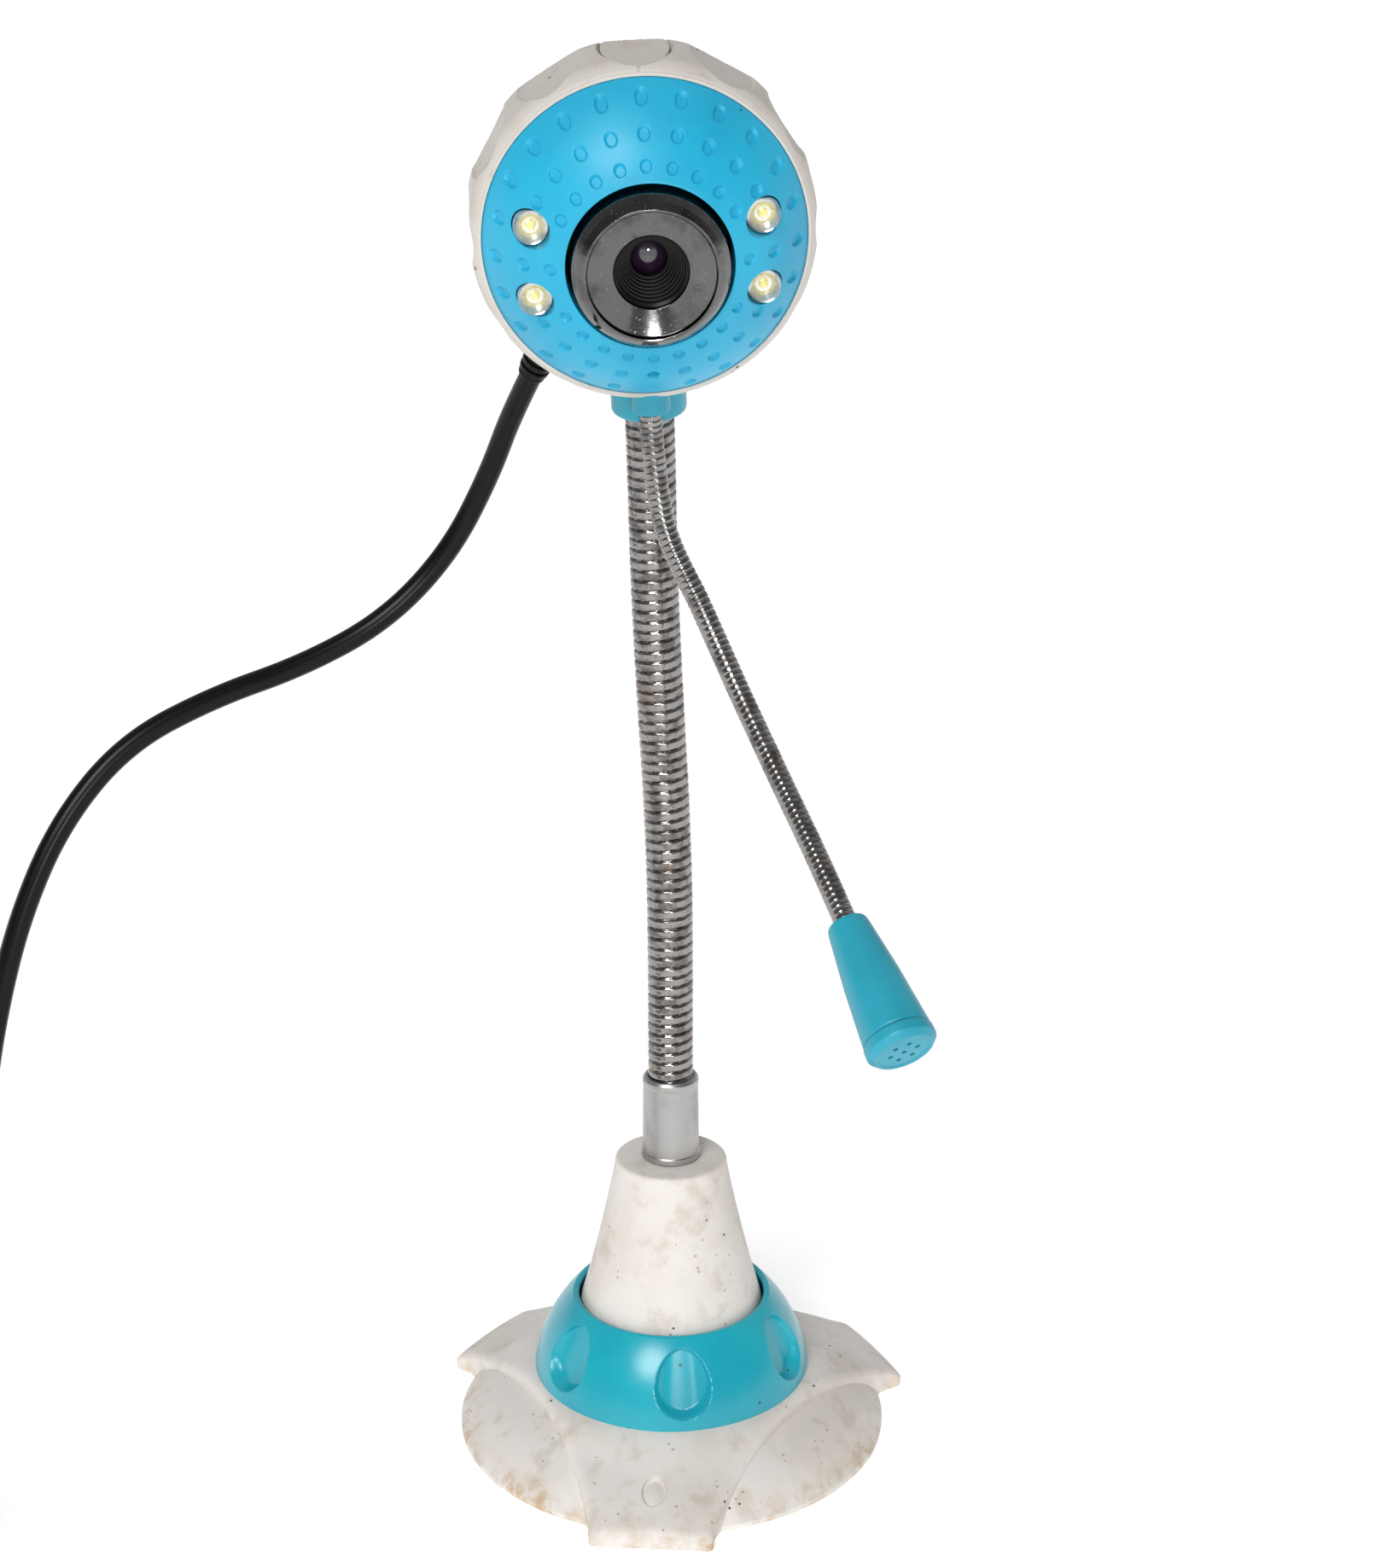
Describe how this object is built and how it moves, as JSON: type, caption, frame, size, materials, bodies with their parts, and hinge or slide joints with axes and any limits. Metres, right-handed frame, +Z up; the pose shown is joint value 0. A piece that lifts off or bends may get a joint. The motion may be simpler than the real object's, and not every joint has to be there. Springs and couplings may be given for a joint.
{
  "type": "webcam on tripod",
  "caption": "Webcam with a domed front, corner lights and focus ring, on a flexible steel neck with a weighted three-legged base and a microphone on its own flexible boom.",
  "frame": {"origin": "middle of the foot pad's underside, on the surface that the webcam stands on", "axes": "+Z up, -Y to the front, the side the lens looks to, +X to the right of the person looking at the lens"},
  "size_m": [0.2132, 0.1569, 0.2288],
  "materials": {
    "shell_plastic": "satin",
    "base_plastic": "satin",
    "sky_plastic": "gloss",
    "turquoise_plastic": "gloss",
    "teal_plastic": "gloss",
    "under_plastic": "matt",
    "pad_rubber": "matt",
    "wound_steel": "satin",
    "ferrule_steel": "satin",
    "ballast_iron": "rough",
    "screw_steel": "satin",
    "ring_chrome": "mirror",
    "lens_plastic": "matt",
    "lens_glass": "polished",
    "filter_glass": "polished",
    "led_clear": "clear",
    "board_green": "satin",
    "chip_black": "matt",
    "contact_metal": "tinned",
    "light_green": "clear",
    "cable_black": "satin",
    "plug_black": "satin",
    "plug_steel": "satin",
    "plug_white": "matt"
  },
  "bodies": {
    "base": {"base_shell": "base_plastic", "base_cover": "under_plastic", "base_pad": "pad_rubber", "cover_screws": "screw_steel", "ballast": "ballast_iron", "base_ring": "turquoise_plastic", "base_cone": "base_plastic", "cone_screws": "screw_steel", "lower_ferrule": "ferrule_steel", "ferrule_nut": "screw_steel", "neck_length_0": "wound_steel", "usb_lead": "cable_black", "usb_lead_coil": "cable_black", "lead_tie": "plug_black", "usb_plug": "plug_black", "plug_shell": "plug_steel", "plug_tongue": "plug_white"},
    "neck_1": {"neck_length_1": "wound_steel"},
    "neck_2": {"neck_length_2": "wound_steel"},
    "neck_3": {"neck_length_3": "wound_steel"},
    "neck_4": {"neck_length_4": "wound_steel"},
    "neck_5": {"neck_length_5": "wound_steel"},
    "neck_6": {"neck_length_6": "wound_steel"},
    "neck_7": {"neck_length_7": "wound_steel"},
    "head": {"neck_length_8": "wound_steel", "neck_mount": "teal_plastic", "rear_shell": "shell_plastic", "front_dome": "sky_plastic", "status_light": "light_green", "leds": "led_clear", "led_legs": "contact_metal", "lens_holder": "lens_plastic", "infrared_filter": "filter_glass", "image_sensor": "chip_black", "camera_board": "board_green", "usb_controller": "chip_black", "board_screws": "screw_steel", "switch_board": "board_green", "snapshot_switch": "chip_black", "cable_gland": "cable_black", "boom_length_0": "wound_steel"},
    "focus_group": {"focus_ring": "ring_chrome", "lens_barrel": "lens_plastic", "lens_glass": "lens_glass"},
    "button": {"snapshot_button": "shell_plastic"},
    "boom_1": {"boom_length_1": "wound_steel"},
    "boom_2": {"boom_length_2": "wound_steel"},
    "boom_3": {"boom_length_3": "wound_steel"},
    "boom_4": {"boom_length_4": "wound_steel"},
    "boom_5": {"boom_length_5": "wound_steel"},
    "microphone": {"boom_length_6": "wound_steel", "microphone_housing": "teal_plastic", "microphone_cap": "teal_plastic", "microphone_capsule": "contact_metal"}
  },
  "joints": [
    {"name": "neck_bend_1", "type": "hinge", "parent": "base", "child": "neck_1", "pos_m": [0, 0, 0.0718], "axis": [1, 0, 0], "range_deg": [-16, 16], "deforming": ["usb_lead"]},
    {"name": "neck_lean_1", "type": "hinge", "parent": "neck_1", "child": "neck_2", "pos_m": [0, 0, 0.0856], "axis": [0, 1, 0], "range_deg": [-16, 16]},
    {"name": "neck_bend_2", "type": "hinge", "parent": "neck_2", "child": "neck_3", "pos_m": [-0.00015, -0.00007, 0.0994], "axis": [0.9999, -0.0001, 0.0105], "range_deg": [-16, 16]},
    {"name": "neck_lean_2", "type": "hinge", "parent": "neck_3", "child": "neck_4", "pos_m": [-0.00063, -0.00031, 0.11319], "axis": [0, 0.9998, 0.0175], "range_deg": [-16, 16]},
    {"name": "neck_bend_3", "type": "hinge", "parent": "neck_4", "child": "neck_5", "pos_m": [-0.00135, -0.00091, 0.12696], "axis": [0.9986, -0.0023, 0.0522], "range_deg": [-16, 16]},
    {"name": "neck_lean_3", "type": "hinge", "parent": "neck_5", "child": "neck_6", "pos_m": [-0.00197, -0.00207, 0.14069], "axis": [0, 0.9965, 0.0837], "range_deg": [-16, 16]},
    {"name": "neck_bend_4", "type": "hinge", "parent": "neck_6", "child": "neck_7", "pos_m": [-0.00238, -0.00394, 0.15436], "axis": [0.9996, -0.004, 0.0291], "range_deg": [-16, 16]},
    {"name": "neck_lean_4", "type": "hinge", "parent": "neck_7", "child": "head", "pos_m": [-0.00259, -0.00667, 0.16789], "axis": [0, 0.9803, 0.1977], "range_deg": [-16, 16]},
    {"name": "boom_bend_1", "type": "hinge", "parent": "head", "child": "boom_1", "pos_m": [-0.00227, -0.01395, 0.17195], "axis": [0.9996, -0.007, 0.0261], "range_deg": [-15, 5]},
    {"name": "boom_lean_1", "type": "hinge", "parent": "boom_1", "child": "boom_2", "pos_m": [-0.00032, -0.01445, 0.15882], "axis": [0, -0.9993, 0.0383], "range_deg": [-15, 15]},
    {"name": "boom_bend_2", "type": "hinge", "parent": "boom_2", "child": "boom_3", "pos_m": [0.00513, -0.01716, 0.14727], "axis": [0.9089, 0.0953, 0.4061], "range_deg": [-15, 5]},
    {"name": "boom_lean_2", "type": "hinge", "parent": "boom_3", "child": "boom_4", "pos_m": [0.0106, -0.02343, 0.13622], "axis": [0, -0.87, 0.4931], "range_deg": [-15, 15]},
    {"name": "boom_bend_3", "type": "hinge", "parent": "boom_4", "child": "boom_5", "pos_m": [0.01599, -0.0322, 0.12635], "axis": [0.9258, 0.2512, 0.2825], "range_deg": [-15, 5]},
    {"name": "boom_lean_3", "type": "hinge", "parent": "boom_5", "child": "microphone", "pos_m": [0.02124, -0.04245, 0.11733], "axis": [0, -0.6607, 0.7507], "range_deg": [-15, 15]},
    {"name": "focus_turn", "type": "hinge", "parent": "head", "child": "focus_group", "pos_m": [-0.00289, -0.02507, 0.20189], "axis": [0.0793, -0.9634, -0.2559], "range_deg": [-60, 60]},
    {"name": "snapshot_press", "type": "slide", "parent": "head", "child": "button", "axis": [0.027, 0.2587, -0.9656], "range_m": [0, 0.0006], "stiffness_N_per_m": 500, "springref_m": -0.0008}
  ],
  "couplings": [
    {"joint": "neck_bend_2", "follows": "neck_bend_1", "ratio": 1},
    {"joint": "neck_lean_2", "follows": "neck_lean_1", "ratio": 1},
    {"joint": "neck_bend_3", "follows": "neck_bend_1", "ratio": 1},
    {"joint": "neck_lean_3", "follows": "neck_lean_1", "ratio": 1},
    {"joint": "neck_bend_4", "follows": "neck_bend_1", "ratio": 1},
    {"joint": "neck_lean_4", "follows": "neck_lean_1", "ratio": 1},
    {"joint": "boom_bend_2", "follows": "boom_bend_1", "ratio": 1},
    {"joint": "boom_lean_2", "follows": "boom_lean_1", "ratio": 1},
    {"joint": "boom_bend_3", "follows": "boom_bend_1", "ratio": 1},
    {"joint": "boom_lean_3", "follows": "boom_lean_1", "ratio": 1}
  ]
}
